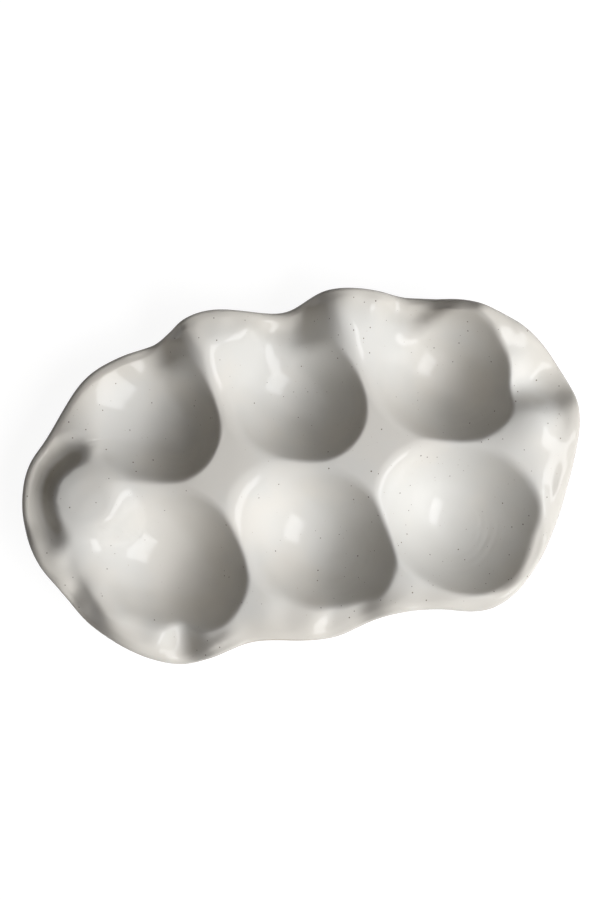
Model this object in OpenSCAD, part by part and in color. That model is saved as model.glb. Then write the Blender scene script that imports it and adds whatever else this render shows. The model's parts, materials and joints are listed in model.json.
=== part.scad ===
/* [Platter] */
// Overall length, along the rows of wells
platter_l = 228; // [205:1:260]
// Overall width, across the rows
platter_w = 142; // [130:1:165]
// Thickness of the finished wall, with its glaze on both faces
wall = 6; // [5:0.25:8]

/* [Wells] */
// Distance between neighbouring wells along a row
well_pitch = 59; // [56:0.5:63]
// Distance between the two rows
row_pitch = 61; // [57:0.5:65]
// How far both rows sit toward the far edge
row_offset = 3; // [0:0.5:8]
// How far the near row is shifted right of the far row
row_stagger = 3; // [0:0.5:6]
// How far the wells slant: sideways shift for each unit of distance toward the far edge
well_slant = 0.2; // [0:0.02:0.25]
// Radius of a well at its edge
well_r = 30.5; // [28:0.5:33]
// Depth of a well below its edge
well_depth = 22; // [17:0.5:25]
// Clay and glaze under the deepest point
floor_t = 5; // [4:0.25:7]
// Height over which a wall rounds into a ridge on its steep near right side
ridge_blend = 4.5; // [4:0.5:10]
// Height over which a wall rounds into a shoulder on its gentle far left side
shoulder_blend = 12; // [8:0.5:16]

/* [Brim] */
// Middle height of the brim
brim_h = 26; // [23:0.5:30]
// Height of the brim's waves above and below the middle
wave_h = 8; // [2:0.5:9]
// Reach of one wave along the brim
wave_reach = 7; // [5:0.5:12]

/* [End fold] */
// Radius of the flat top of the thumb-shaped pad at the left end
pad_r = 7; // [4:0.5:10]
// Height of the pad above the middle of the brim
pad_rise = 0.5; // [0:0.25:3]
// Length that sets how fast the pad falls off: longer is gentler
pad_fall = 14; // [8:0.5:24]
// Height over which the pad rounds into the wells beside it
pad_blend = 8; // [4:0.5:12]
// Radius of the fold that runs round the pad
fold_r = 13.5; // [11:0.5:16]
// Drop from the pad to the ledge outside the fold
fold_drop = 11; // [3:0.5:12]
// Width over which the fold drops
fold_w = 5; // [4:0.5:10]

/* [Feet and glaze] */
// Radius of a bare foot
foot_r = 12; // [9:0.5:14]
// Width of the bare bevel between a foot and the glaze
foot_bevel = 2.5; // [1.5:0.25:4]
// Thickness of the glaze
glaze_t = 0.6; // [0.4:0.05:1]

/* [Hidden] */

// Outline of the rim from its right end, counterclockwise: shares of half the length,
// half the width and the wave height
rim_shares = [
    [1.00, 0.10, -0.3], [0.96, 0.36, -0.7], [0.87, 0.60, -0.7], [0.74, 0.76, 0.2],
    [0.64, 0.84, 0.9], [0.45, 0.895, -1.2], [0.34, 0.965, 0.2], [0.19, 1.00, 0.9],
    [0.10, 0.96, -0.2], [0.01, 0.905, -1.5], [-0.13, 0.955, 0], [-0.24, 0.98, 0.4],
    [-0.335, 0.945, 1.0], [-0.445, 0.84, -1.5], [-0.58, 0.795, -0.6], [-0.72, 0.69, 0],
    [-0.86, 0.42, 0.2], [-0.96, 0.23, 0], [-1.00, -0.03, 0], [-0.96, -0.31, 0],
    [-0.90, -0.46, -0.6], [-0.84, -0.65, -1.0], [-0.70, -0.85, 0.2], [-0.58, -0.96, -0.6],
    [-0.48, -1.00, -1.0], [-0.35, -0.945, 0.3], [-0.24, -0.905, 0], [-0.10, -0.945, -0.3],
    [0.03, -0.96, -0.9], [0.12, -0.92, -0.6], [0.24, -0.865, 0.4], [0.40, -0.875, 0],
    [0.55, -0.93, -0.7], [0.67, -0.87, -0.4], [0.80, -0.67, -0.5], [0.91, -0.33, -1.0],
];
// Crowns of the brim inside the rim, in the same shares
crown_shares = [
    [-0.74, 0.05, 0.2], [-0.28, 0.13, 0.3], [0.25, 0.14, 0.3], [-0.80, -0.30, 0.1],
    [-0.74, -0.62, 0.4], [-0.60, -0.80, -0.1], [-0.40, -0.84, -0.7], [-0.25, -0.66, 0],
    [-0.05, -0.80, -0.2], [0.10, -0.84, -0.4], [0.27, -0.62, 0.2], [0.55, -0.78, 0.1],
    [0.79, -0.28, 0.4], [0.82, 0.12, 0.6], [0.88, 0.30, -0.6], [0.74, 0.48, 0.4],
    [0.70, 0.66, 0.4],
];
// Size of each well, the far row first from the left, in shares of the well radius
size_shares = [0.945, 0.885, 0.885, 1, 0.985, 0.985];
// Shift of each well's centre from its place in the row, and of its deepest point from its
// centre, in the same shares
shift_shares = [
    [0.043, -0.043], [0.085, -0.085], [0.092, -0.092],
    [0, 0], [0.013, -0.013], [0.013, -0.013],
];
lean_shares = [
    [0.42, -0.16], [0.24, -0.15], [0.20, -0.16],
    [0.18, -0.16], [0.18, -0.16], [0.18, -0.16],
];
// Direction of the gentle side of every well, in degrees
shoulder_aim = 135;
// How a well steepens toward its edge on its steep and its gentle side
steep_power = 2.6;
gentle_power = 1.8;
// How the gentle side's blend fades round the well
shoulder_power = 1.5;
// Middle of the pad, in shares of half the length and half the width
pad_share = [-0.746, 0.014];
// Centre of the end fold, in shares of half the length and half the width
fold_share = [-0.74, 0.01];
// Middle and half width of the fold's sweep, and the stretch where it fades, in degrees
fold_aim = 158;
fold_spread = 82;
fold_fade = 42;
// How sharply the fold breaks at its inner edge: lower is sharper
fold_power = 1.6;

// Where the ten outer corners of the six cells sit, counted in rim points
corner_stops = [-0.1, 3, 7.2, 11.9, 15, 17.4, 21.5, 26.4, 30.3, 33.8, 35.9];
// Corners of each cell, counterclockwise: ten outer corners, then four inside the platter
cells = [
    [5, 10, 11, 3, 4], [11, 12, 13, 2, 3], [13, 0, 1, 2],
    [5, 6, 7, 10], [7, 8, 12, 11, 10], [8, 9, 0, 13, 12],
];
// Outer corners at the two ends of the middle ridge
end_corners = [0, 5];
// Steps along an outer side, an inner side, a side that runs out to an end corner and the
// short side where two wells meet cornerwise
outer_steps = 8;
inner_steps = 6;
end_steps = 12;
short_steps = 2;
// How points crowd toward an end corner
end_power = 1.2;
// Rings from floor to edge above, how many of them are the well's own circles, rings below
// and steps round the lip
top_rings = 8;
wall_rings = 4;
under_rings = 2;
lip_steps = 3;
// How rings crowd toward the edge of a well
ring_power = 1.5;
// Step used to measure a slope
probe = 0.1;
// Radius of the first ring of a well's floor
floor_r = foot_r / 2;

half_l = platter_l / 2;
half_w = platter_w / 2;
lip_r = wall / 2;
bare_r = foot_r + foot_bevel;
edge_slope = atan(mix(steep_power, gentle_power, 1 / 2) * well_depth / well_r);
under_grow = wall * sin(edge_slope);
under_depth = floor_t + well_depth - wall * cos(edge_slope);
pad_centre = [pad_share.x * half_l, pad_share.y * half_w];
fold_centre = [fold_share.x * half_l, fold_share.y * half_w];
shoulder_dir = [cos(shoulder_aim), sin(shoulder_aim)];

grid = [
    for (side = [1, -1])
        for (col = [-1 : 1])
            [col * well_pitch - side * row_stagger / 2, row_offset + side * row_pitch / 2]
];
well_last = len(grid) - 1;
wells = [for (i = [0 : well_last]) grid[i] + shift_shares[i] * well_r];
radii = [for (share = size_shares) share * well_r];
leans = [for (i = [0 : well_last]) lean_shares[i] * radii[i]];
floors = [for (i = [0 : well_last]) wells[i] + unslant(leans[i])];
crests = [for (r = radii) r + ridge_blend / 2];

// Where the ridge between neighbours in a row crosses a line along the platter
function ridge_at(i, y) =
    let (middle = (wells[i] + wells[i + 1]) / 2)
    [middle.x - well_slant * (y - middle.y), y];
junction_rise = well_slant * well_pitch / 3;
junctions = [
    for (col = [0, 1])
        each [ridge_at(col + 3, row_offset - junction_rise), ridge_at(col, row_offset + junction_rise)]
];

function mix(a, b, t) = a + (b - a) * t;
function unit(v) = v / norm(v);
function at(list, i) = list[(i + len(list)) % len(list)];
function slant(v) = [v.x + well_slant * v.y, v.y];
function unslant(v) = [v.x - well_slant * v.y, v.y];

// Smooth curve from b to c, with a before and d after
function spline(a, b, c, d, t) =
    let (bend = 2 * a - 5 * b + 4 * c - d, twist = 3 * b - a - 3 * c + d)
    b + (c - a) * t / 2 + bend * t * t / 2 + twist * t * t * t / 2;

function rim_at(stop) =
    let (i = floor(stop), near = [for (k = [-1 : 2]) at(rim_shares, i + k)])
    spline(near[0], near[1], near[2], near[3], stop - i);

// Lower of two heights, rounded over the blend where they are close
function soft_min(a, b, blend) =
    let (near = max(blend - abs(a - b), 0))
    min(a, b) - near * near / (4 * blend);

function soft_max(a, b, blend) = -soft_min(-a, -b, blend);

function soft_min_all(list, blends, i = 0, low = undef) =
    i == len(list) ? low :
    soft_min_all(list, blends, i + 1, i == 0 ? list[0] : soft_min(low, list[i], blends[i]));

// From 0 on the steep side of a well to 1 on its gentle side, in direction d from its deepest point
function gentle(d) = norm(d) > 0 ? (1 + d * shoulder_dir / norm(d)) / 2 : 1 / 2;

// Height of a leaning bowl above its deepest point, in direction d from that point
function bowl(i, grow, depth, d) =
    let (lean = leans[i], radius = radii[i] + grow, far = norm(d), aim = far > 0 ? d / far : [1, 0])
    let (along = lean * aim, reach = sqrt(along * along + radius * radius - lean * lean) - along)
    depth * pow(far / reach, mix(steep_power, gentle_power, gentle(d)));

wave_points = [for (q = concat(rim_shares, crown_shares)) [q.x * half_l, q.y * half_w]];
wave_heights = [for (q = concat(rim_shares, crown_shares)) q.z * wave_h];
wave_ones = [for (q = wave_points) 1];

// Share of the end fold in the direction of p, and its drop above and, more gently, below
function fold_part(p) =
    let (d = p - fold_centre, turn = abs(atan2(d.y, d.x) - fold_aim))
    let (inside = fold_spread - min(turn, 360 - turn))
    pow(sin(90 * max(0, min(1, inside / fold_fade))), 2);
function fold_above(p) =
    let (past = max(0, norm(p - fold_centre) - fold_r) / fold_w)
    fold_drop * fold_part(p) * (1 - exp(-pow(past, fold_power)));
function fold_below(p) =
    let (out = min(1, norm(p - fold_centre) / (2 * fold_r)))
    fold_drop * fold_part(p) * out * out * (3 - 2 * out);

function pad(p) =
    let (past = max(0, norm(p - pad_centre) - pad_r))
    brim_h + pad_rise - past * past / pad_fall;

function brim(p) =
    let (near = wave_reach * wave_reach)
    let (pull = [for (q = wave_points) pow(near / ((p - q) * (p - q) + near), 2)])
    brim_h + pull * wave_heights / (pull * wave_ones);

// Face of the wall at p without the fold: brim, wells and pad, with the wells' floor, growth and depth
function formed(p, floor, grow, depth, below) =
    let (arms = [for (i = [0 : well_last]) slant(p - wells[i]) - leans[i]])
    let (walls = [for (i = [0 : well_last]) floor + bowl(i, grow, depth, arms[i])])
    let (blends = [for (d = arms) mix(ridge_blend, shoulder_blend, pow(gentle(d), shoulder_power))])
    let (open = soft_min_all(concat([brim(p) - below], walls), concat([0], blends)))
    soft_max(open, pad(p) - below, pad_blend);

// Finished upper and lower faces of the wall
function top_z(p) = formed(p, floor_t, 0, well_depth, 0) - fold_above(p);
function under_z(p) = formed(p, 0, under_grow, under_depth, wall) - fold_below(p);

// Upright depth that is one unit deep measured square to a face, from the face's heights
// at a point and one probe to each side of it
function steep(here, right, beyond) = norm([right - here, beyond - here, probe]) / probe;
function top_steep(p) = steep(top_z(p), top_z(p + [probe, 0]), top_z(p + [0, probe]));
function under_steep(p) = steep(under_z(p), under_z(p + [probe, 0]), under_z(p + [0, probe]));

// Rim: outline, outward direction, the line inside the round lip and the slope there
outline = [
    for (s = [0 : len(corner_stops) - 2])
        for (k = [0 : outer_steps - 1])
            let (q = rim_at(mix(corner_stops[s], corner_stops[s + 1], k / outer_steps)))
            [q.x * half_l, q.y * half_w]
];
rim_last = len(outline) - 1;
rim_out = [
    for (j = [0 : rim_last])
        let (d = at(outline, j + 1) - at(outline, j - 1))
        unit([d.y, -d.x])
];
core = [for (j = [0 : rim_last]) outline[j] - rim_out[j] * lip_r];
rim_tilt = [
    for (j = [0 : rim_last])
        let (step = rim_out[j] * probe)
        atan((top_z(core[j] + step) - top_z(core[j] - step)) / (2 * probe))
];
lip_centre = [
    for (j = [0 : rim_last])
        [core[j].x, core[j].y, top_z(core[j]) - lip_r / cos(rim_tilt[j])]
];

// Point on the round lip: turn 0 is on the upper face and 180 on the lower face
function lip_point(j, turn, deep) =
    let (aim = 90 + rim_tilt[j] - turn, out = rim_out[j])
    lip_centre[j] + (lip_r - deep) * [out.x * cos(aim), out.y * cos(aim), sin(aim)];

// How far the lip's lower edge lies above the lower face, and the same carried inward from the rim
rim_lift = [
    for (j = [0 : rim_last])
        let (low = lip_point(j, 180, 0))
        low.z - under_z(flat(low))
];
rim_ones = [for (j = [0 : rim_last]) 1];
function lift_at(p) =
    let (pull = [for (q = core) exp(-(p - q) * (p - q) / (2 * wall * wall))])
    pull * rim_lift / max(1, pull * rim_ones);

// Cell sides: each point carries its place on the rim, or -1 inside the platter
outer_corners = len(corner_stops) - 1;
function is_inner(id) = id >= outer_corners;
function is_outer(a, b) = !is_inner(a) && b == (a + 1) % outer_corners;
function is_end(a, b) = len(search(a, end_corners)) + len(search(b, end_corners)) > 0;
function is_short(a, b) = is_inner(a) && is_inner(b) && floor(a / 2) == floor(b / 2);
function side_steps(a, b) = is_end(a, b) ? end_steps : is_short(a, b) ? short_steps : inner_steps;
function corner(id) = is_inner(id) ? junctions[id - outer_corners] : core[id * outer_steps];
function inner_point(a, b, k) =
    let (steps = side_steps(a, b), power = is_end(a, b) ? end_power : 1)
    let (p = a < b ? mix(corner(a), corner(b), pow(k / steps, power))
                   : mix(corner(b), corner(a), pow((steps - k) / steps, power)))
    k == 0 ? [corner(a).x, corner(a).y, is_inner(a) ? -1 : a * outer_steps] : [p.x, p.y, -1];
function side_points(a, b) =
    is_outer(a, b)
        ? [for (j = [a * outer_steps : (a + 1) * outer_steps - 1]) [core[j].x, core[j].y, j]]
        : [for (k = [0 : side_steps(a, b) - 1]) inner_point(a, b, k)];
cell_edges = [for (c = cells) [for (i = [0 : len(c) - 1]) each side_points(c[i], at(c, i + 1))]];

function raised(p, z) = [p.x, p.y, z];
function flat(p) = [p.x, p.y];
function eased(t) = 1 - pow(1 - t, ring_power);

// Point of a ring toward a point on the cell's edge: circles up the wall, then steps to the edge
function aim(i, end) = unit(slant(end - wells[i]));
function ring_point(i, end, ring) =
    ring == top_rings ? end :
    ring > wall_rings
        ? mix(ring_point(i, end, wall_rings), end, (ring - wall_rings) / (top_rings - wall_rings))
        : let (far = norm(slant(end - wells[i])), up = eased(ring / wall_rings))
          let (limit = mix(floor_r, far, eased(ring / top_rings)))
          let (reach = soft_min(mix(floor_r, crests[i], up), limit, floor_r))
          mix(floors[i], wells[i], up) + unslant(reach * aim(i, end));

// Rings of one well, deep below the finished face: from the floor to the edge above,
// and from the edge to the glaze line below
function top_point(p, deep) = raised(p, top_z(p) - (deep > 0 ? deep * top_steep(p) : 0));
function top_ring(i, ring, deep) = [
    for (edge = cell_edges[i])
        ring == top_rings && edge.z >= 0 ? lip_point(edge.z, 0, deep)
                                         : top_point(ring_point(i, flat(edge), ring), deep)
];
function under_ring(i, ring, deep) = [
    for (edge = cell_edges[i])
        let (end = flat(edge), share = 1 - ring / under_rings)
        let (p = ring == 0 ? end : mix(floors[i] + unslant(bare_r * aim(i, end)), end, share))
        ring == 0 && edge.z >= 0 ? lip_point(edge.z, 180, deep)
            : raised(p, under_z(p) + lift_at(p) + (deep > 0 ? deep * under_steep(p) : 0))
];
function foot_ring(i) = [
    for (edge = cell_edges[i])
        raised(floors[i] + unslant(foot_r * aim(i, flat(edge))), 0)
];

// Which diagonal splits a four-sided patch above: the one that lies nearer the face
function first_split(p, q, r, s) =
    let (z = top_z((p + q + r + s) / 4))
    abs((top_z(p) + top_z(r)) / 2 - z) <= abs((top_z(q) + top_z(s)) / 2 - z);
function plan_ring(i, ring) = [for (edge = cell_edges[i]) ring_point(i, flat(edge), ring)];
top_splits = [
    for (i = [0 : well_last])
        [
            for (k = [1 : top_rings])
                let (a = plan_ring(i, k - 1), b = plan_ring(i, k))
                [for (j = [0 : len(a) - 1]) first_split(a[j], at(a, j + 1), at(b, j + 1), b[j])]
        ]
];

// Triangles between two closed rings, split as told or along the shorter diagonal, and from a
// point to a ring
function strip(a, b, splits = undef) = [
    for (j = [0 : len(a) - 1])
        let (p = a[j], q = at(a, j + 1), r = at(b, j + 1), s = b[j])
        let (first = is_undef(splits) ? norm(p - r) <= norm(q - s) : splits[j])
        each first ? [[p, r, s], [p, q, r]] : [[p, q, s], [q, r, s]]
];
function fan(c, a) = [for (j = [0 : len(a) - 1]) [c, at(a, j + 1), a[j]]];
function flip(tris) = [for (t = tris) [t[0], t[2], t[1]]];

// Whole skin, deep below the finished face, open at the six glaze lines
function skin(deep) = [
    for (i = [0 : well_last])
        each concat(
            fan(top_point(floors[i], deep), top_ring(i, 0, deep)),
            [
                for (k = [1 : top_rings])
                    each strip(top_ring(i, k - 1, deep), top_ring(i, k, deep), top_splits[i][k - 1])
            ],
            [for (k = [1 : under_rings]) each strip(under_ring(i, k - 1, deep), under_ring(i, k, deep))]
        ),
    for (k = [1 : lip_steps])
        each strip(
            [for (j = [0 : rim_last]) lip_point(j, 180 * (k - 1) / lip_steps, deep)],
            [for (j = [0 : rim_last]) lip_point(j, 180 * k / lip_steps, deep)]
        )
];

module solid(tris) {
    polyhedron(
        points = [for (t = tris) each t],
        faces = [for (i = [0 : len(tris) - 1]) [3 * i, 3 * i + 1, 3 * i + 2]],
        convexity = 10
    );
}

// Fired clay with six wells and six flat bare feet
module stoneware_body() {
    feet = [
        for (i = [0 : well_last])
            each concat(
                strip(under_ring(i, under_rings, glaze_t), foot_ring(i)),
                flip(fan(raised(floors[i], 0), foot_ring(i)))
            )
    ];
    color([0.78, 0.70, 0.60]) solid(concat(skin(glaze_t), feet));
}

// Glass coat over the whole piece but the feet
module glaze_coat() {
    glaze_lines = [
        for (i = [0 : well_last])
            each strip(under_ring(i, under_rings, 0), under_ring(i, under_rings, glaze_t))
    ];
    color([0.92, 0.90, 0.86]) solid(concat(skin(0), flip(skin(glaze_t)), glaze_lines));
}

stoneware_body();
glaze_coat();
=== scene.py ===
import json
import math

import bpy
import numpy as np
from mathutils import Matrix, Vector, kdtree, noise

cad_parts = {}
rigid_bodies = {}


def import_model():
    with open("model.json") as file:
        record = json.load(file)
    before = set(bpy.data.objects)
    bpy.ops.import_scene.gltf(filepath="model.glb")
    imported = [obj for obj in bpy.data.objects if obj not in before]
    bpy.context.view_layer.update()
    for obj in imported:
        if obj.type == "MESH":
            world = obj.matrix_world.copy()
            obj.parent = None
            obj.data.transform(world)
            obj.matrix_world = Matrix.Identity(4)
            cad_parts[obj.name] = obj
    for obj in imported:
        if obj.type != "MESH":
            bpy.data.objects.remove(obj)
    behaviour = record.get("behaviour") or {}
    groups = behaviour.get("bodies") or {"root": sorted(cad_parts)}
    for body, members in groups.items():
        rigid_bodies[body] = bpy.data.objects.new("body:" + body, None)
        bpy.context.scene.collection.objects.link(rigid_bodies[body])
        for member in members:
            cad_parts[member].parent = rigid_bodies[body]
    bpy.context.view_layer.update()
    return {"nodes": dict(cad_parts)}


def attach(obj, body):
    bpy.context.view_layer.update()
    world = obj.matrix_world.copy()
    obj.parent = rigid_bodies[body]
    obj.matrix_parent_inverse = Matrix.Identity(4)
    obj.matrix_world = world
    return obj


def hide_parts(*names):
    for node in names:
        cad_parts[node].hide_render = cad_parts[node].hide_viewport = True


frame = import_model()
scene = bpy.context.scene
scene.view_settings.view_transform = "Standard"
print("frame loaded, nodes:", sorted(frame["nodes"]))


# the faces of the wall, in metres, with the shares and sizes of the part's source
face = {
    "half": (0.114, 0.071),
    "outlineSteps": 40,     # fine points from one rim point to the next
    "wall": 0.006,
    # rim from its right end, counterclockwise: shares of half length, half width and wave height
    "rim": [
        (1.00, 0.10, -0.3), (0.96, 0.36, -0.7), (0.87, 0.60, -0.7), (0.74, 0.76, 0.2),
        (0.64, 0.84, 0.9), (0.45, 0.895, -1.2), (0.34, 0.965, 0.2), (0.19, 1.00, 0.9),
        (0.10, 0.96, -0.2), (0.01, 0.905, -1.5), (-0.13, 0.955, 0.0), (-0.24, 0.98, 0.4),
        (-0.335, 0.945, 1.0), (-0.445, 0.84, -1.5), (-0.58, 0.795, -0.6), (-0.72, 0.69, 0.0),
        (-0.86, 0.42, 0.2), (-0.96, 0.23, 0.0), (-1.00, -0.03, 0.0), (-0.96, -0.31, 0.0),
        (-0.90, -0.46, -0.6), (-0.84, -0.65, -1.0), (-0.70, -0.85, 0.2), (-0.58, -0.96, -0.6),
        (-0.48, -1.00, -1.0), (-0.35, -0.945, 0.3), (-0.24, -0.905, 0.0), (-0.10, -0.945, -0.3),
        (0.03, -0.96, -0.9), (0.12, -0.92, -0.6), (0.24, -0.865, 0.4), (0.40, -0.875, 0.0),
        (0.55, -0.93, -0.7), (0.67, -0.87, -0.4), (0.80, -0.67, -0.5), (0.91, -0.33, -1.0),
    ],
    # crowns of the brim inside the rim, in the same shares
    "crowns": [
        (-0.74, 0.05, 0.2), (-0.28, 0.13, 0.3), (0.25, 0.14, 0.3), (-0.80, -0.30, 0.1),
        (-0.74, -0.62, 0.4), (-0.60, -0.80, -0.1), (-0.40, -0.84, -0.7), (-0.25, -0.66, 0.0),
        (-0.05, -0.80, -0.2), (0.10, -0.84, -0.4), (0.27, -0.62, 0.2), (0.55, -0.78, 0.1),
        (0.79, -0.28, 0.4), (0.82, 0.12, 0.6), (0.88, 0.30, -0.6), (0.74, 0.48, 0.4),
        (0.70, 0.66, 0.4),
    ],
    "tilts": {},            # slopes at single points of the rim and brim
    "brimHeight": 0.026, "waveHeight": 0.008, "waveReach": 0.007,
    "wellPitch": 0.059, "rowPitch": 0.061, "rowOffset": 0.003, "rowStagger": 0.003,
    "slant": 0.2, "wellRadius": 0.0305, "wellDepth": 0.022, "floor": 0.005,
    "sizes": (0.945, 0.885, 0.885, 1.0, 0.985, 0.985),
    "shifts": (
        (0.043, -0.043), (0.085, -0.085), (0.092, -0.092),
        (0.0, 0.0), (0.013, -0.013), (0.013, -0.013),
    ),
    "leans": (
        (0.42, -0.16), (0.24, -0.15), (0.20, -0.16),
        (0.18, -0.16), (0.18, -0.16), (0.18, -0.16),
    ),
    "steepPowers": (2.6,) * 6, "gentlePowers": (1.8,) * 6,
    "steepBlend": 0.0045, "gentleBlend": 0.012,
    "gentleAim": 135.0, "gentleFade": 1.5,
    "padShare": (-0.746, 0.014), "padRadius": 0.007, "padRise": 0.0005,
    "padFall": 0.014, "padBlend": 0.008,
    "foldShare": (-0.74, 0.01), "foldRadius": 0.0135, "foldDrop": 0.011, "foldWidth": 0.005,
    "foldAim": 158.0, "foldSpread": 82.0, "foldFade": 42.0, "foldPower": 1.6,
    "foldBack": 0.0, "foldLedge": (0.0185, 0.028),
    "bareRadius": 0.0145,
}


def scaled(share):
    return np.array(share[:2]) * face["half"]


def placeWells(form):
    placed = []
    for side in (1, -1):
        for column in (-1, 0, 1):
            i = len(placed)
            middle = np.array((
                column * form["wellPitch"] - side * form["rowStagger"] / 2,
                form["rowOffset"] + side * form["rowPitch"] / 2,
            )) + np.array(form["shifts"][i]) * form["wellRadius"]
            radius = form["sizes"][i] * form["wellRadius"]
            lean = np.array(form["leans"][i]) * radius
            deepest = middle + np.array((lean[0] - form["slant"] * lean[1], lean[1]))
            placed.append({
                "middle": middle, "radius": radius, "lean": lean, "deepest": deepest,
                "steepPower": form["steepPowers"][i], "gentlePower": form["gentlePowers"][i],
            })
    return placed


def softMin(first, second, blend):
    near = np.maximum(blend - np.abs(first - second), 0)
    return np.minimum(first, second) - near * near / (4 * blend)


# rounded share, 0 before the first value and 1 past the second
def easedShare(value, low, high):
    share = np.clip((value - low) / (high - low), 0, 1)
    return share * share * (3 - 2 * share)


def brimFace(form, x, y):
    reach = form["waveReach"] ** 2
    pull, total = np.zeros_like(x), np.zeros_like(x)
    for share in form["rim"] + form["crowns"]:
        crestX, crestY = scaled(share)
        slopeX, slopeY = form["tilts"].get(share[:2], (0.0, 0.0))
        weight = (reach / ((x - crestX) ** 2 + (y - crestY) ** 2 + reach)) ** 2
        tilt = slopeX * (x - crestX) + slopeY * (y - crestY)
        pull += weight * (share[2] * form["waveHeight"] + tilt)
        total += weight
    return form["brimHeight"] + pull / total


# height of one face of the wall without the fold: brim, wells and pad
def formedFace(form, x, y, floor, grow, depth, below):
    aim = math.radians(form["gentleAim"])
    height = brimFace(form, x, y) - below
    for well in placeWells(form):
        along = y - well["middle"][1] - well["lean"][1]
        across = x - well["middle"][0] + form["slant"] * (y - well["middle"][1]) - well["lean"][0]
        far = np.maximum(np.hypot(across, along), 1e-9)
        gentle = (1 + (across * math.cos(aim) + along * math.sin(aim)) / far) / 2
        ahead = (well["lean"][0] * across + well["lean"][1] * along) / far
        radius = well["radius"] + grow
        reach = np.sqrt(ahead ** 2 + radius ** 2 - well["lean"] @ well["lean"]) - ahead
        power = well["steepPower"] + (well["gentlePower"] - well["steepPower"]) * gentle
        bowl = floor + depth * (far / reach) ** power
        softer = (form["gentleBlend"] - form["steepBlend"]) * gentle ** form["gentleFade"]
        height = softMin(height, bowl, form["steepBlend"] + softer)
    padX, padY = scaled(form["padShare"])
    past = np.maximum(np.hypot(x - padX, y - padY) - form["padRadius"], 0)
    pad = form["brimHeight"] + form["padRise"] - past ** 2 / form["padFall"] - below
    return -softMin(-height, -pad, form["padBlend"])


def foldPart(form, x, y):
    foldX, foldY = scaled(form["foldShare"])
    turn = np.abs(np.degrees(np.arctan2(y - foldY, x - foldX)) - form["foldAim"])
    inside = form["foldSpread"] - np.minimum(turn, 360 - turn)
    part = np.sin(math.pi / 2 * np.clip(inside / form["foldFade"], 0, 1)) ** 2
    return part, np.hypot(x - foldX, y - foldY)


def upperFace(form, x, y):
    part, far = foldPart(form, x, y)
    past = np.maximum(far - form["foldRadius"], 0) / form["foldWidth"]
    back = 1 - form["foldBack"] * easedShare(far, *form["foldLedge"])
    drop = form["foldDrop"] * part * back * (1 - np.exp(-past ** form["foldPower"]))
    return formedFace(form, x, y, form["floor"], 0.0, form["wellDepth"], 0.0) - drop


edgeSlope = math.atan(
    (face["steepPowers"][0] + face["gentlePowers"][0]) / 2 * face["wellDepth"] / face["wellRadius"]
)


def lowerFace(form, x, y):
    part, far = foldPart(form, x, y)
    drop = form["foldDrop"] * part * easedShare(far, 0.0, 2 * form["foldRadius"])
    grow = form["wall"] * math.sin(edgeSlope)
    depth = form["floor"] + form["wellDepth"] - form["wall"] * math.cos(edgeSlope)
    return formedFace(form, x, y, 0.0, grow, depth, form["wall"]) - drop


# upright depth of a coat that is one unit thick measured square to the face
def steepness(height, x, y):
    step = 0.0001
    here = height(face, x, y)
    right, beyond = height(face, x + step, y) - here, height(face, x, y + step) - here
    return np.sqrt((right / step) ** 2 + (beyond / step) ** 2 + 1)


# fine points of the outline, on a smooth curve through the rim points
def outlinePoints(steps):
    rim = [scaled(share) for share in face["rim"]]
    points = []
    for i in range(len(rim)):
        before, start, end, after = (rim[(i + k) % len(rim)] for k in (-1, 0, 1, 2))
        for k in range(steps):
            t = k / steps
            bend = 2 * before - 5 * start + 4 * end - after
            twist = 3 * start - before - 3 * end + after
            points.append(start + (end - before) * t / 2 + bend * t ** 2 / 2 + twist * t ** 3 / 2)
    return points


# how far each place lies inside the outline, and the same place kept off the round lip
def rimPlaces(x, y):
    points = outlinePoints(face["outlineSteps"])
    tree = kdtree.KDTree(len(points))
    for i, point in enumerate(points):
        tree.insert((point[0], point[1], 0.0), i)
    tree.balance()
    inward, keptX, keptY = np.empty_like(x), x.copy(), y.copy()
    for i in range(len(x)):
        near, index, inward[i] = tree.find((x[i], y[i], 0.0))
        if inward[i] < face["wall"] / 2:
            ahead = points[(index + 1) % len(points)] - points[index - 1]
            ahead = ahead / np.hypot(*ahead) * face["wall"] / 2
            keptX[i], keptY[i] = near[0] - ahead[1], near[1] + ahead[0]
    return inward, keptX, keptY


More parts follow.
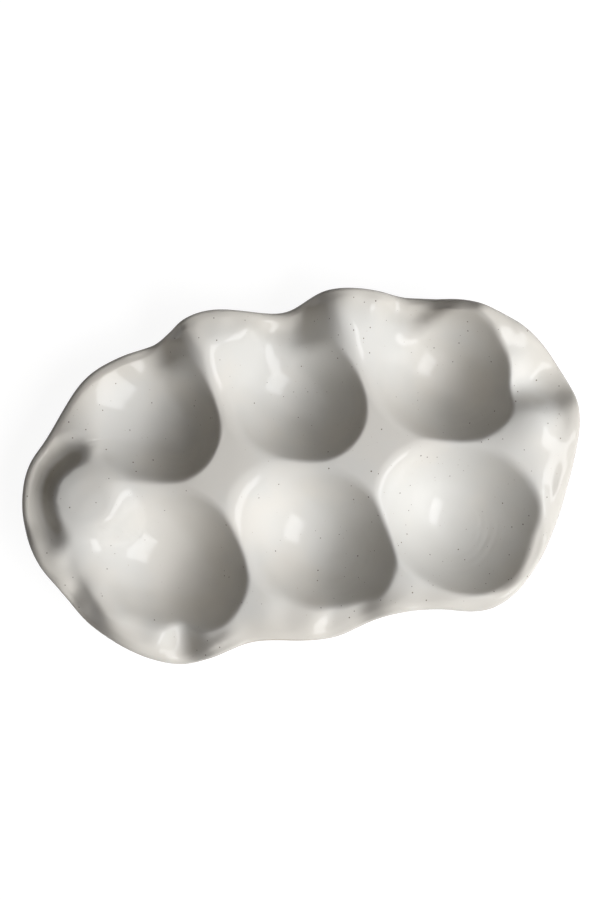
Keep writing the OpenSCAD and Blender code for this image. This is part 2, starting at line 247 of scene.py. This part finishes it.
# what the maker's hands changed after pressing: heights and slopes of the rim and brim,
# shoulders and leans of the wells, and the fold
handwork = {
    "rim": {
        (0.74, 0.76): 0.9, (0.87, 0.60): -0.06, (0.96, 0.36): -1.2, (1.00, 0.10): -0.1,
        (0.91, -0.33): -0.56, (0.80, -0.67): -0.8, (0.10, 0.96): -0.5, (-0.96, 0.23): 0.4,
        (-1.00, -0.03): 0.6, (-0.96, -0.31): 0.8, (-0.90, -0.46): 0.2, (-0.84, -0.65): -1.4,
        (-0.48, -1.00): -1.3, (-0.35, -0.945): 0.5, (0.12, -0.92): -0.8, (0.24, -0.865): 0.5,
    },
    "crowns": {
        (0.88, 0.30): -1.1, (0.70, 0.66): 0.85, (0.82, 0.12): 0.85, (0.79, -0.28): 0.3,
        (-0.40, -0.84): 0.0,
    },
    "moreCrowns": [
        (0.83, 0.595, 0.1), (0.90, 0.47, -0.61), (0.87, -0.23, -0.1), (0.55, 0.81, -0.5),
        (0.115, 0.88, -0.4), (-0.385, 0.83, -0.4), (-0.83, -0.56, -0.4), (-0.45, -0.87, -0.8),
        (-0.91, -0.22, 0.6),
    ],
    "tilts": {
        (0.74, 0.76): (-0.30, 0.34), (0.87, 0.60): (-0.31, 0.36), (0.83, 0.595): (-0.31, 0.36),
        (0.90, 0.47): (-0.31, 0.36), (0.91, -0.33): (-0.31, 0.29), (0.87, -0.23): (-0.31, 0.29),
        (0.55, 0.81): (1.2, 0.0), (0.115, 0.88): (1.6, 0.2), (-0.385, 0.83): (1.6, 0.3),
        (-0.83, -0.56): (1.2, 0.3), (-0.45, -0.87): (1.2, -0.1), (-0.91, -0.22): (-0.3, 0.1),
        (-0.96, -0.31): (-0.3, 0.1), (-1.00, -0.03): (-0.3, 0.0),
    },
    "values": {
        "steepPowers": (2.2, 2.1, 2.0, 2.2, 2.0, 2.3),
        "gentlePowers": (1.55, 1.8, 1.8, 1.7, 1.8, 1.8),
        "steepBlend": 0.0024, "gentleBlend": 0.0068,
        "foldPower": 2.0, "foldWidth": 0.0048, "foldDrop": 0.0125, "foldBack": 0.44,
        "foldLedge": (0.020, 0.0295),
        "sizes": (0.945, 0.885, 0.885, 1.0, 0.985, 1.02),
        "shifts": (
            (0.043, -0.043), (0.085, -0.085), (0.092, -0.092),
            (0.0, 0.0), (0.013, -0.013), (0.035, -0.045),
        ),
        "leans": (
            (0.42, -0.17), (0.28, -0.15), (0.20, -0.16),
            (0.22, -0.17), (0.13, -0.16), (-0.14, -0.06),
        ),
    },
}


def workOver():
    rim = [(x, y, handwork["rim"].get((x, y), rise)) for x, y, rise in face["rim"]]
    crowns = [(x, y, handwork["crowns"].get((x, y), rise)) for x, y, rise in face["crowns"]]
    crowns += handwork["moreCrowns"]
    return dict(face, rim=rim, crowns=crowns, tilts=handwork["tilts"], **handwork["values"])


worked = workOver()
workedWells = placeWells(worked)


remake = {
    "merge": 1e-6,
    "joinBend": 60.0,       # two triangles become one quad up to this bend and skew, in degrees
    "joinSkew": 80.0,
}


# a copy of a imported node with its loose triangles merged
def copyNode(nodeName, pieceName):
    bpy.ops.object.select_all(action="DESELECT")
    mesh = frame["nodes"][nodeName].data.copy()
    mesh.name = pieceName
    mesh.materials.clear()
    piece = bpy.data.objects.new(pieceName, mesh)
    scene.collection.objects.link(piece)
    bpy.context.view_layer.objects.active = piece
    piece.select_set(True)
    bpy.ops.object.mode_set(mode="EDIT")
    bpy.ops.mesh.customdata_custom_splitnormals_clear()
    bpy.ops.mesh.select_all(action="SELECT")
    bpy.ops.mesh.remove_doubles(threshold=remake["merge"])
    bpy.ops.object.mode_set(mode="OBJECT")
    return piece


def roundPiece(piece, levels):
    bpy.ops.object.mode_set(mode="EDIT")
    bpy.ops.mesh.select_all(action="SELECT")
    bpy.ops.mesh.tris_convert_to_quads(
        face_threshold=math.radians(remake["joinBend"]),
        shape_threshold=math.radians(remake["joinSkew"]),
    )
    bpy.ops.object.mode_set(mode="OBJECT")
    keepFootEdges(piece)
    rounding = piece.modifiers.new("rounding", "SUBSURF")
    rounding.levels = levels
    rounding.render_levels = levels
    bpy.ops.object.modifier_apply(modifier="rounding")
    bpy.ops.object.shade_smooth()


foot = {
    "top": 0.0028,      # the feet end below this height
    "flat": 0.9,        # a face of a foot points down at least this much
    "crease": 0.9,
}


# the ground feet keep their edges when the mesh is rounded
def keepFootEdges(piece):
    mesh = piece.data
    crease = mesh.attributes.new("crease_edge", "FLOAT", "EDGE")
    touching = {}
    for polygon in mesh.polygons:
        for key in polygon.edge_keys:
            touching.setdefault(key, []).append(polygon)
    for edge in mesh.edges:
        low = max(mesh.vertices[v].co.z for v in edge.vertices) < foot["top"]
        sides = touching.get(edge.key, [])
        flat = [polygon.normal.z < -foot["flat"] for polygon in sides]
        if low and len(sides) == 2 and flat[0] != flat[1]:
            crease.data[edge.index].value = foot["crease"]


# distance from the nearest well's deepest point, measured on its slant
def floorDistances(x, y):
    nearest = np.full_like(x, 1.0)
    for well in placeWells(face):
        along = y - well["deepest"][1]
        across = x - well["deepest"][0] + face["slant"] * along
        nearest = np.minimum(nearest, np.hypot(across, along))
    return nearest


def vertexArrays(piece):
    count = len(piece.data.vertices)
    places, normals = np.empty(count * 3), np.empty(count * 3)
    piece.data.vertices.foreach_get("co", places)
    piece.data.vertices.foreach_get("normal", normals)
    return places.reshape(-1, 3), normals.reshape(-1, 3)


# picks whole faces in code and goes back into edit mode with them
def selectFaces(mesh, wanted):
    bpy.ops.object.mode_set(mode="EDIT")
    bpy.ops.mesh.select_mode(type="FACE")
    bpy.ops.mesh.select_all(action="DESELECT")
    bpy.ops.object.mode_set(mode="OBJECT")
    for polygon in mesh.polygons:
        polygon.select = wanted(polygon)
    bpy.ops.object.mode_set(mode="EDIT")


foldFinish = {
    "near": 0.024,      # the fold's own faces lie this close to its middle
    "smoothing": 9,     # rounds of smoothing, and how far each goes
    "softness": 0.5,
}


def nearFold(polygon):
    foldX, foldY = scaled(face["foldShare"])
    return math.hypot(polygon.center.x - foldX, polygon.center.y - foldY) < foldFinish["near"]


# the end fold bends more sharply than the rest, so its faces are divided once more
def divideFold(piece):
    selectFaces(piece.data, lambda polygon: polygon.normal.z > 0 and nearFold(polygon))
    bpy.ops.mesh.subdivide(number_cuts=1)
    bpy.ops.object.mode_set(mode="OBJECT")


def smoothFold(piece, onlyUnder):
    selectFaces(piece.data, lambda polygon: (
        nearFold(polygon) and not (onlyUnder and polygon.normal.z > 0)
    ))
    bpy.ops.mesh.vertices_smooth(factor=foldFinish["softness"], repeat=foldFinish["smoothing"])
    bpy.ops.object.mode_set(mode="OBJECT")


coat = {
    "levels": 2,
    "lineWithin": 1e-5,     # the coat's end faces lie this close to the line round each foot
    "lipBand": 0.002,       # the lip's painted shade is full this close to the outline and gone at lipFade
    "lipFade": 0.015,
    "thickness": 0.00055,
    "clayLevels": 2,
    "clayDeep": 0.00062,    # the clay's face under the coat
}


# only the outside of the coat is shaped: its inside is laid on again with an even thickness
def keepOutside(piece):
    mesh = piece.data
    x, y = vertexArrays(piece)[0].T[:2]
    onLine = np.abs(floorDistances(x, y) - face["bareRadius"]) < coat["lineWithin"]
    selectFaces(mesh, lambda polygon: all(onLine[v] for v in polygon.vertices))
    bpy.ops.mesh.delete(type="FACE")
    bpy.ops.object.mode_set(mode="OBJECT")
    highest = max(mesh.polygons, key=lambda polygon: polygon.center.z).index
    selectFaces(mesh, lambda polygon: polygon.index == highest)
    bpy.ops.mesh.select_linked()
    bpy.ops.mesh.select_all(action="INVERT")
    bpy.ops.mesh.delete(type="FACE")
    bpy.ops.object.mode_set(mode="OBJECT")
    print("outside of the coat kept:", len(mesh.polygons), "faces")


# how the rounded mesh is drawn onto the faces: fully inside the lip, not at all on it
settle = {
    "lipFrom": 0.0032,
    "lipTo": 0.0090,
    "lipPower": 2.8,                # 2 is half round, more is fuller
    "underFrom": 0.0100,
    "underTo": 0.0220,
    "footFrom": 0.0146,
    "footTo": 0.0190,
    "foldUnder": (0.016, 0.028),    # the underside follows the upper face only outside the fold
}


def drawToFaces(piece, deep):
    places, normals = vertexArrays(piece)
    x, y, z = places.T.copy()
    inward, keptX, keptY = rimPlaces(x, y)
    inside = easedShare(inward, settle["lipFrom"], settle["lipTo"])
    beneath = easedShare(inward, settle["underFrom"], settle["underTo"])
    upper, lower = upperFace(face, x, y), lowerFace(face, x, y)
    if deep > 0:
        upper = upper - deep * steepness(upperFace, x, y)
        lower = lower + deep * steepness(lowerFace, x, y)
    bare = easedShare(floorDistances(x, y), settle["footFrom"], settle["footTo"])
    change = upperFace(worked, keptX, keptY) - upperFace(face, keptX, keptY)
    changeUnder = change * easedShare(foldPart(face, x, y)[1], *settle["foldUnder"])
    out = np.clip(1 - inward / (face["wall"] / 2), 0, 1)
    power = settle["lipPower"]
    fuller = face["wall"] / 2 * ((1 - out ** power) ** (1 / power) - np.sqrt(1 - out ** 2))
    places[:, 2] = np.where(
        normals[:, 2] > 0,
        z + inside * (upper - z) + change + fuller,
        z + bare * (beneath * (lower - z) + changeUnder),
    )
    piece.data.vertices.foreach_set("co", places.ravel())
    piece.data.update()


# finger marks left in the wells, and the slow unevenness of a hand-pressed slab
press = {
    "from": 0.007,      # marks start this far from the deepest point
    "to": 0.024,
    "pitch": 0.0031,
    "drift": 0.0008,    # the rings wander this far
    "driftRate": 90.0,
    "driftSeed": 999.0,
    "depth": 0.00010,
    "aim": -0.75,       # strongest toward the near right side
    "wobble": 0.00014,
    "wobbleSize": 0.024,
    "wobbleSeed": 3.7,
    "dents": 0.000035,
    "dentSize": 0.009,
    "dentSeed": 9.1,
    "plane": 0.002,     # nothing is pressed below this height, so the feet stay in their plane
    "rise": 0.004,
}


def pressMarks(x, y):
    mark, rate = 0.0, press["driftRate"]
    for well in workedWells:
        across, along = x - well["deepest"][0], y - well["deepest"][1]
        reach = math.hypot(across, along)
        if press["from"] < reach < press["to"]:
            share = (reach - press["from"]) / (press["to"] - press["from"])
            toward = math.cos(math.atan2(along, across) - press["aim"])
            fade = math.sin(math.pi * share) ** 2 * max(0.0, toward)
            drift = noise.noise((x * rate, y * rate, well["radius"] * press["driftSeed"]))
            ring = reach + press["drift"] * drift
            mark += fade * math.sin(2 * math.pi * ring / press["pitch"])
    return press["depth"] * mark


def handUneven(x, y):
    size, dent = press["wobbleSize"], press["dentSize"]
    slow = noise.noise((x / size, y / size, press["wobbleSeed"]))
    quick = noise.noise((x / dent, y / dent, press["dentSeed"]))
    return press["wobble"] * slow + press["dents"] * quick


def pressByHand(piece):
    for vertex in piece.data.vertices:
        x, y, z = vertex.co
        part = min(1.0, max(0.0, (z - press["plane"]) / press["rise"]))
        vertex.co.z += part * (pressMarks(x, y) + handUneven(x, y))
    piece.data.update()


# nearness to the lip, kept on the mesh for the finish, which lays the painted rim shade and the
# lip's edge by it
def markRim(piece):
    x, y = vertexArrays(piece)[0].T[:2]
    inward = rimPlaces(x, y)[0]
    nearness = piece.data.attributes.new("nearLip", "FLOAT", "POINT")
    nearness.data.foreach_set("value", 1 - easedShare(inward, coat["lipBand"], coat["lipFade"]))


def makeClay():
    clay = copyNode("stoneware_body", "clayBody")
    roundPiece(clay, coat["clayLevels"])
    drawToFaces(clay, coat["clayDeep"])
    smoothFold(clay, True)
    pressByHand(clay)
    return clay


def makeCoat():
    glaze = copyNode("glaze_coat", "glazeSkin")
    keepOutside(glaze)
    roundPiece(glaze, coat["levels"])
    divideFold(glaze)
    drawToFaces(glaze, 0.0)
    smoothFold(glaze, False)
    pressByHand(glaze)
    markRim(glaze)
    inner = glaze.modifiers.new("inner", "SOLIDIFY")
    inner.thickness = coat["thickness"]
    inner.offset = -1.0
    bpy.ops.object.modifier_apply(modifier="inner")
    bpy.ops.object.shade_smooth()
    return glaze


clay = makeClay()
glaze = makeCoat()
faceCounts = [len(piece.data.polygons) for piece in (clay, glaze)]
print("clay body and glaze skin shaped:", *faceCounts, "faces")


# shader groups that both finishes use
def newGroup(name, inputs, outputs):
    group = bpy.data.node_groups.new(name, "ShaderNodeTree")
    for socketName, kind, start in inputs:
        socket = group.interface.new_socket(socketName, in_out="INPUT", socket_type=kind)
        if start is not None:
            socket.default_value = start
    for socketName, kind in outputs:
        group.interface.new_socket(socketName, in_out="OUTPUT", socket_type=kind)
    return group, group.nodes.new("NodeGroupInput"), group.nodes.new("NodeGroupOutput")


def addMath(tree, operation, first, second, clamp=False):
    node = tree.nodes.new("ShaderNodeMath")
    node.operation = operation
    node.use_clamp = clamp
    for slot, value in enumerate((first, second)):
        if isinstance(value, (int, float)):
            node.inputs[slot].default_value = value
        else:
            tree.links.new(value, node.inputs[slot])
    return node.outputs[0]


def addRamp(tree, source, fromLow, fromHigh, toLow=0.0, toHigh=1.0, smooth=True):
    node = tree.nodes.new("ShaderNodeMapRange")
    node.interpolation_type = "SMOOTHSTEP" if smooth else "LINEAR"
    for socketName, value in (
        ("Value", source), ("From Min", fromLow), ("From Max", fromHigh),
        ("To Min", toLow), ("To Max", toHigh),
    ):
        if isinstance(value, (int, float)):
            node.inputs[socketName].default_value = value
        else:
            tree.links.new(value, node.inputs[socketName])
    return node.outputs["Result"]


def addMix(tree, share, first, second):
    node = tree.nodes.new("ShaderNodeMix")
    node.data_type = "RGBA"
    node.clamp_factor = True
    for slot, value in ((0, share), (6, first), (7, second)):
        if isinstance(value, (int, float)):
            node.inputs[slot].default_value = value
        elif isinstance(value, tuple):
            node.inputs[slot].default_value = (*value, 1.0)
        else:
            tree.links.new(value, node.inputs[slot])
    return node.outputs[2]


fleckShape = {
    "crowdRange": (0.35, 0.68),     # noise that thins or crowds the flecks
    "crowdShare": (0.35, 1.3),
    "smallest": 0.45,               # share of the full size
    "core": 0.55,                   # a fleck is full inside this share of its size
}


# round iron flecks of uneven size, thicker in some places than in others
def makeFlecks():
    group, ins, outs = newGroup(
        "ironFlecks",
        [("Vector", "NodeSocketVector", None), ("Scale", "NodeSocketFloat", 200.0),
         ("Size", "NodeSocketFloat", 0.08), ("Kept", "NodeSocketFloat", 0.6),
         ("Crowding", "NodeSocketFloat", 30.0)],
        [("Mask", "NodeSocketFloat")],
    )
    cells = group.nodes.new("ShaderNodeTexVoronoi")
    crowd = group.nodes.new("ShaderNodeTexNoise")
    split = group.nodes.new("ShaderNodeSeparateColor")
    link = group.links.new
    link(ins.outputs["Vector"], cells.inputs["Vector"])
    link(ins.outputs["Scale"], cells.inputs["Scale"])
    link(ins.outputs["Vector"], crowd.inputs["Vector"])
    link(ins.outputs["Crowding"], crowd.inputs["Scale"])
    link(cells.outputs["Color"], split.inputs["Color"])
    crowding = addRamp(
        group, crowd.outputs[0], *fleckShape["crowdRange"], *fleckShape["crowdShare"]
    )
    limit = addMath(group, "MULTIPLY", ins.outputs["Kept"], crowding)
    kept = addMath(group, "LESS_THAN", split.outputs[0], limit)
    uneven = addRamp(group, split.outputs[1], 0.0, 1.0, fleckShape["smallest"], 1.0)
    size = addMath(group, "MULTIPLY", ins.outputs["Size"], uneven)
    inner = addMath(group, "MULTIPLY", size, fleckShape["core"])
    spot = addRamp(group, cells.outputs["Distance"], inner, size, 1.0, 0.0)
    link(addMath(group, "MULTIPLY", spot, kept), outs.inputs["Mask"])
    return group


# cloudy change of tone in two sizes
def makeClouds():
    group, ins, outs = newGroup(
        "cloudyTone",
        [("Vector", "NodeSocketVector", None), ("Scale", "NodeSocketFloat", 20.0),
         ("Fine", "NodeSocketFloat", 160.0)],
        [("Slow", "NodeSocketFloat"), ("Quick", "NodeSocketFloat")],
    )
    for scaleName, detail, outName in (("Scale", 3.0, "Slow"), ("Fine", 4.0, "Quick")):
        cloud = group.nodes.new("ShaderNodeTexNoise")
        cloud.inputs["Detail"].default_value = detail
        group.links.new(ins.outputs["Vector"], cloud.inputs["Vector"])
        group.links.new(ins.outputs[scaleName], cloud.inputs["Scale"])
        group.links.new(cloud.outputs[0], outs.inputs[outName])
    return group


flecks = makeFlecks()
clouds = makeClouds()


def placeGroup(tree, group, vector, **values):
    node = tree.nodes.new("ShaderNodeGroup")
    node.node_tree = group
    tree.links.new(vector, node.inputs["Vector"])
    for socketName, value in values.items():
        node.inputs[socketName].default_value = value
    return node


def newFinish(name):
    material = bpy.data.materials.new(name)
    material.use_nodes = True
    tree = material.node_tree
    place = tree.nodes.new("ShaderNodeTexCoord")
    return material, tree, tree.nodes["Principled BSDF"], place


# lays one group's flecks over a colour
def layFlecks(tree, body, group, share, colour):
    return addMix(tree, addMath(tree, "MULTIPLY", group.outputs["Mask"], share), body, colour)


def addGrain(tree, shader, height, depth, strength):
    bump = tree.nodes.new("ShaderNodeBump")
    bump.inputs["Strength"].default_value = strength
    bump.inputs["Distance"].default_value = depth
    tree.links.new(height, bump.inputs["Height"])
    tree.links.new(bump.outputs["Normal"], shader.inputs["Normal"])


glazeFinish = {
    "white": (0.72, 0.693, 0.643),
    "cool": (0.69, 0.678, 0.645),       # where the coat lies thicker
    "coolRange": (0.38, 0.62),
    # a darker, warmer band near the lip: painted shade that keeps the lit rim and flanges below
    # white
    "lip": (0.655, 0.62, 0.56),
    "lipShare": 0.75,
    "bareEdgeShade": (0.44, 0.345, 0.25),        # clay shows through at the lip, in a tone dark enough to be painted shade under the lip as well
    "thinNear": (0.975, 0.99),
    "thinRange": (0.20, 0.66),          # from an upright face to a flatter one
    "thinWander": 0.18,
    "bareEdgeShadeShare": 0.95,
    "fleck": (0.11, 0.068, 0.046),
    "fleckShare": 0.92,
    "halo": (0.36, 0.28, 0.21),
    "haloShare": 0.55,
    "clouds": {"Scale": 26.0, "Fine": 420.0},
    "cloudRange": (0.3, 0.7),
    "large": {"Scale": 300.0, "Size": 0.115, "Kept": 0.75, "Crowding": 24.0},
    "small": {"Scale": 480.0, "Size": 0.115, "Kept": 0.40, "Crowding": 31.0},
    "rough": (0.045, 0.085),
    "ripple": 0.00006,
    "rippleStrength": 0.25,
    "ior": 1.5,
}


def glazeMaterial():
    material, tree, shader, place = newFinish("whiteGlaze")
    spot = place.outputs["Object"]
    tone = placeGroup(tree, clouds, spot, **glazeFinish["clouds"])
    large = placeGroup(tree, flecks, spot, **glazeFinish["large"])
    small = placeGroup(tree, flecks, spot, **glazeFinish["small"])
    slow, quick = tone.outputs["Slow"], tone.outputs["Quick"]
    thick = addRamp(tree, slow, *glazeFinish["coolRange"])
    body = addMix(tree, thick, glazeFinish["white"], glazeFinish["cool"])
    # a darker, warmer band toward the lip is painted shade that keeps the lit rim below white
    attribute = tree.nodes.new("ShaderNodeAttribute")
    attribute.attribute_name = "nearLip"
    nearLip = attribute.outputs["Fac"]
    lip = addMath(tree, "MULTIPLY", nearLip, glazeFinish["lipShare"])
    body = addMix(tree, lip, body, glazeFinish["lip"])
    # where the coat runs thin off the lip's outermost edge the clay shows through; its tone is
    # also painted shade under the lip
    split = tree.nodes.new("ShaderNodeSeparateXYZ")
    tree.links.new(place.outputs["Normal"], split.inputs[0])
    upright = addMath(tree, "ABSOLUTE", split.outputs["Z"], 0.0)
    wander = glazeFinish["thinWander"]
    uneven = addRamp(tree, slow, *glazeFinish["cloudRange"], -wander, wander)
    broken = addMath(tree, "ADD", upright, uneven)
    edge = addRamp(tree, broken, *glazeFinish["thinRange"], glazeFinish["bareEdgeShadeShare"], 0.0)
    outermost = addRamp(tree, nearLip, *glazeFinish["thinNear"])
    body = addMix(tree, addMath(tree, "MULTIPLY", edge, outermost), body, glazeFinish["bareEdgeShade"])
    body = layFlecks(tree, body, small, glazeFinish["haloShare"], glazeFinish["halo"])
    body = layFlecks(tree, body, large, glazeFinish["fleckShare"], glazeFinish["fleck"])
    tree.links.new(body, shader.inputs["Base Color"])
    rough = addRamp(tree, quick, *glazeFinish["cloudRange"], *glazeFinish["rough"])
    tree.links.new(rough, shader.inputs["Roughness"])
    addGrain(tree, shader, quick, glazeFinish["ripple"], glazeFinish["rippleStrength"])
    shader.inputs["IOR"].default_value = glazeFinish["ior"]
    return material


clayFinish = {
    "buff": (0.52, 0.42, 0.31),
    "warm": (0.60, 0.47, 0.34),
    "warmRange": (0.35, 0.65),
    "grog": (0.20, 0.13, 0.09),
    "grogShare": 0.8,
    "sand": (0.72, 0.64, 0.52),
    "sandShare": 0.6,
    "clouds": {"Scale": 60.0, "Fine": 900.0},
    "cloudRange": (0.3, 0.7),
    "grogFlecks": {"Scale": 620.0, "Size": 0.16, "Kept": 0.45, "Crowding": 60.0},
    "sandFlecks": {"Scale": 800.0, "Size": 0.22, "Kept": 0.60, "Crowding": 80.0},
    "rough": (0.78, 0.92),
    "grain": 0.00025,
    "grainStrength": 0.6,
}


def clayMaterial():
    material, tree, shader, place = newFinish("bareClay")
    spot = place.outputs["Object"]
    tone = placeGroup(tree, clouds, spot, **clayFinish["clouds"])
    grog = placeGroup(tree, flecks, spot, **clayFinish["grogFlecks"])
    sand = placeGroup(tree, flecks, spot, **clayFinish["sandFlecks"])
    slow, quick = tone.outputs["Slow"], tone.outputs["Quick"]
    warm = addRamp(tree, slow, *clayFinish["warmRange"])
    body = addMix(tree, warm, clayFinish["buff"], clayFinish["warm"])
    body = layFlecks(tree, body, sand, clayFinish["sandShare"], clayFinish["sand"])
    body = layFlecks(tree, body, grog, clayFinish["grogShare"], clayFinish["grog"])
    tree.links.new(body, shader.inputs["Base Color"])
    rough = addRamp(tree, quick, *clayFinish["cloudRange"], *clayFinish["rough"])
    tree.links.new(rough, shader.inputs["Roughness"])
    addGrain(tree, shader, quick, clayFinish["grain"], clayFinish["grainStrength"])
    return material


glaze.data.materials.append(glazeMaterial())
clay.data.materials.append(clayMaterial())
for piece, node, slot in ((clay, "stoneware_body", "stoneware"), (glaze, "glaze_coat", "glaze")):
    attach(piece, "root")
    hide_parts(node)
print("finishes made")


studio = {
    "floorSize": 8.0,
    "floorDrop": 0.0002,
    "floorTone": 0.20,
    "floorSeen": 0.93,      # with the lamps' light on it this is just white
    "airDim": 0.018,        # air on the side away from the window, and toward it
    "airBright": 0.066,
    "airTone": (1.0, 0.77, 0.52),
    "airSeen": 0.95,
    "airToward": (0.62, -0.52, 0.35),
    "airRange": (-0.6, 0.7),
    "lampAim": (0.0, 0.0, 0.015),
    "lampTone": (0.965, 0.98, 1.0),
    # name, azimuth, elevation, distance, width, height, power, whether gloss mirrors it
    "lamps": [
        ("windowStrip", -36.0, 36.0, 1.20, 0.95, 0.30, 2.7, True),
        ("windowGlow", -36.0, 38.0, 1.25, 1.50, 1.20, 22.0, False),
    ],
}


# white to the camera and in reflections, dull to the light that bounces
def seenShare(tree):
    path = tree.nodes.new("ShaderNodeLightPath")
    seen = addMath(tree, "ADD", path.outputs["Is Camera Ray"], path.outputs["Is Glossy Ray"], True)
    return addMath(tree, "ADD", seen, path.outputs["Is Transmission Ray"], True)


def layFloor():
    bpy.ops.object.select_all(action="DESELECT")
    bpy.ops.mesh.primitive_plane_add(
        size=studio["floorSize"], location=(0, 0, -studio["floorDrop"])
    )
    floor = bpy.context.object
    floor.name = "paleFloor"
    material = bpy.data.materials.new("paleFloor")
    material.use_nodes = True
    tree = material.node_tree
    tree.nodes.remove(tree.nodes["Principled BSDF"])
    dull = tree.nodes.new("ShaderNodeBsdfDiffuse")
    glow = tree.nodes.new("ShaderNodeEmission")
    both = tree.nodes.new("ShaderNodeAddShader")
    dull.inputs["Color"].default_value = (studio["floorTone"],) * 3 + (1.0,)
    seen = addMath(tree, "MULTIPLY", seenShare(tree), studio["floorSeen"])
    tree.links.new(seen, glow.inputs["Strength"])
    tree.links.new(dull.outputs[0], both.inputs[0])
    tree.links.new(glow.outputs[0], both.inputs[1])
    tree.links.new(both.outputs[0], tree.nodes["Material Output"].inputs["Surface"])
    floor.data.materials.append(material)


def lightRoom():
    world = bpy.data.worlds.new("softRoom")
    world.use_nodes = True
    tree = world.node_tree
    place = tree.nodes.new("ShaderNodeTexCoord")
    facing = tree.nodes.new("ShaderNodeVectorMath")
    facing.operation = "DOT_PRODUCT"
    facing.inputs[1].default_value = studio["airToward"]
    tree.links.new(place.outputs["Generated"], facing.inputs[0])
    air = addRamp(
        tree, facing.outputs["Value"], *studio["airRange"], studio["airDim"], studio["airBright"]
    )
    level = addRamp(tree, seenShare(tree), 0.0, 1.0, air, studio["airSeen"], False)
    tree.links.new(level, tree.nodes["Background"].inputs["Strength"])
    tone = addMix(tree, seenShare(tree), studio["airTone"], (1.0, 1.0, 1.0))
    tree.links.new(tone, tree.nodes["Background"].inputs["Color"])
    scene.world = world
    for name, azimuth, elevation, distance, width, height, power, mirrored in studio["lamps"]:
        turn, rise = math.radians(azimuth), math.radians(elevation)
        out = math.cos(rise)
        toward = Vector((math.cos(turn) * out, math.sin(turn) * out, math.sin(rise)))
        spot = Vector(studio["lampAim"]) + toward * distance
        bpy.ops.object.light_add(type="AREA", location=spot)
        lamp = bpy.context.object
        lamp.name = name
        lamp.rotation_euler = toward.to_track_quat("Z", "Y").to_euler()
        lamp.data.shape = "RECTANGLE"
        lamp.data.size = width
        lamp.data.size_y = height
        lamp.data.energy = power
        lamp.data.color = studio["lampTone"]
        lamp.visible_glossy = mirrored


view = {
    "spot": (0.0006, 0.00876, 0.92),
    "roll": -8.1,
    "rimDistance": 0.90,
    "field": 0.240,     # metres across the picture at the rim
    "sensor": 36.0,
}


def setCamera():
    bpy.ops.object.camera_add(location=view["spot"], rotation=(0, 0, math.radians(view["roll"])))
    camera = bpy.context.object
    camera.name = "overhead"
    camera.data.sensor_fit = "HORIZONTAL"
    camera.data.sensor_width = view["sensor"]
    camera.data.lens = view["sensor"] * view["rimDistance"] / view["field"]
    scene.camera = camera


layFloor()
lightRoom()
setCamera()
print("floor, lamps and camera set")

bpy.context.view_layer.update()
